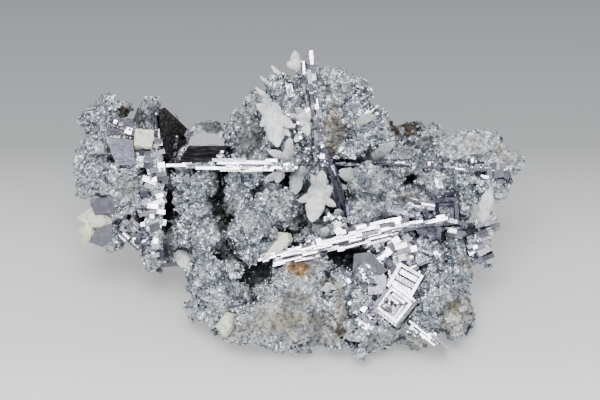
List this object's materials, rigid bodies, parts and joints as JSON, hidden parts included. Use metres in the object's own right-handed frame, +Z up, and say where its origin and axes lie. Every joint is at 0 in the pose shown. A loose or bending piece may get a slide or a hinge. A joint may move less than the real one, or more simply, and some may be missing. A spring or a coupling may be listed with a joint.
{
  "type": "galena specimen",
  "caption": "Skeletal galena boxwork of thin crossing plates, crystal-coated lumps and stepped hopper crystals, with white calcite blades and cream dolomite.",
  "frame": {"origin": "centre of the bounding box's bottom, on the flat cut base", "axes": "+X along the longest extent, left to right as the display face is seen; -Y towards the viewer of the display face, which leans back; +Z up"},
  "size_m": [0.1255, 0.0772, 0.0623],
  "materials": {
    "galena": "bright metallic crystal, dull where finely crystallised",
    "calcite": "translucent, glassy to silky",
    "dolomite": "matt to pearly"
  },
  "bodies": {
    "root": {"galena_skeleton": "galena", "calcite_crown": "calcite", "calcite_side_blade_low": "calcite", "calcite_side_blade_mid": "calcite", "calcite_side_blade_top": "calcite", "calcite_upper_spray": "calcite", "calcite_inner_mass": "calcite", "calcite_pair_above": "calcite", "calcite_pair_below": "calcite", "calcite_broad_blade": "calcite", "calcite_main_cluster": "calcite", "calcite_shaded_blade": "calcite", "calcite_fan_blade": "calcite", "calcite_curved_blade": "calcite", "calcite_inner_blade": "calcite", "calcite_long_blade": "calcite", "calcite_foot": "calcite", "calcite_flake": "calcite", "dolomite_left_block": "dolomite", "dolomite_left_wedge": "dolomite", "dolomite_centre_wedge": "dolomite", "dolomite_front_rim": "dolomite"}
  },
  "joints": []
}
